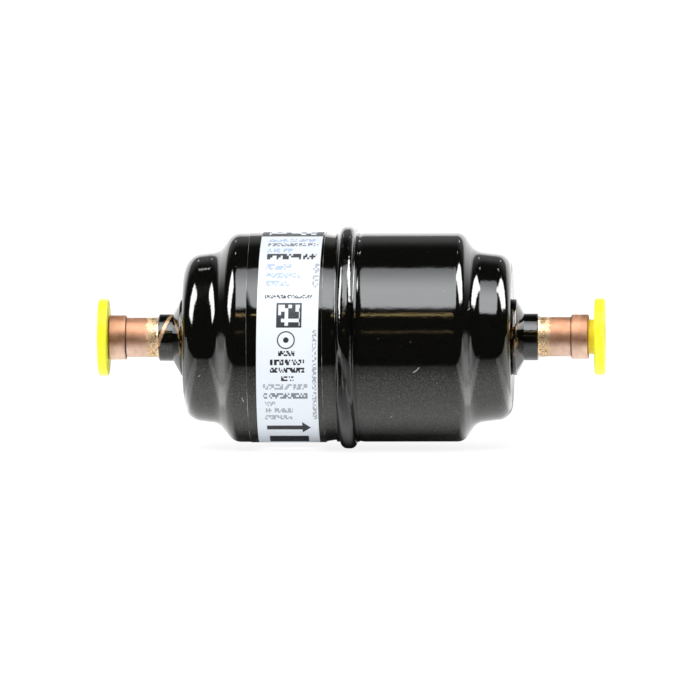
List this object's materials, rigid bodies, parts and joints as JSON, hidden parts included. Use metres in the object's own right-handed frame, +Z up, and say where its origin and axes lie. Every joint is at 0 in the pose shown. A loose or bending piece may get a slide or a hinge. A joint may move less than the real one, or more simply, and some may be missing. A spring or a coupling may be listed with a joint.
{
  "type": "filter drier",
  "caption": "Hermetic refrigerant filter drier: two-part stepped steel shell with girth weld, solder connections and dust caps, solid core inside.",
  "frame": {"origin": "middle of the girth weld on the flow axis", "axes": "+X in the flow direction, from inlet to outlet; +Z up as it lies; the label faces -Y"},
  "size_m": [0.1064, 0.0468, 0.0468],
  "materials": {
    "black_enamel": "gloss",
    "copper": "satin",
    "braze_alloy": "satin",
    "cap_yellow": "satin",
    "label_film": "gloss",
    "spring_steel": "satin",
    "plate_steel": "satin",
    "desiccant": "matte",
    "felt": "matte"
  },
  "bodies": {
    "drier": {"shell_inlet_half": "black_enamel", "shell_outlet_half": "black_enamel", "girth_weld": "black_enamel", "inlet_fitting": "black_enamel", "outlet_fitting": "black_enamel", "inlet_tube": "copper", "outlet_tube": "copper", "inlet_braze": "braze_alloy", "outlet_braze": "braze_alloy", "label": "label_film", "core_spring": "spring_steel", "solid_core": "desiccant", "filter_mat": "felt", "perforated_plate": "plate_steel"},
    "inlet_cap": {"inlet_cap": "cap_yellow"},
    "outlet_cap": {"outlet_cap": "cap_yellow"}
  },
  "joints": [
    {"name": "inlet_cap_pull", "type": "slide", "parent": "drier", "child": "inlet_cap", "axis": [-1, 0, 0], "range_m": [0, 0.03]},
    {"name": "outlet_cap_pull", "type": "slide", "parent": "drier", "child": "outlet_cap", "axis": [1, 0, 0], "range_m": [-0.0012, 0.03]}
  ]
}
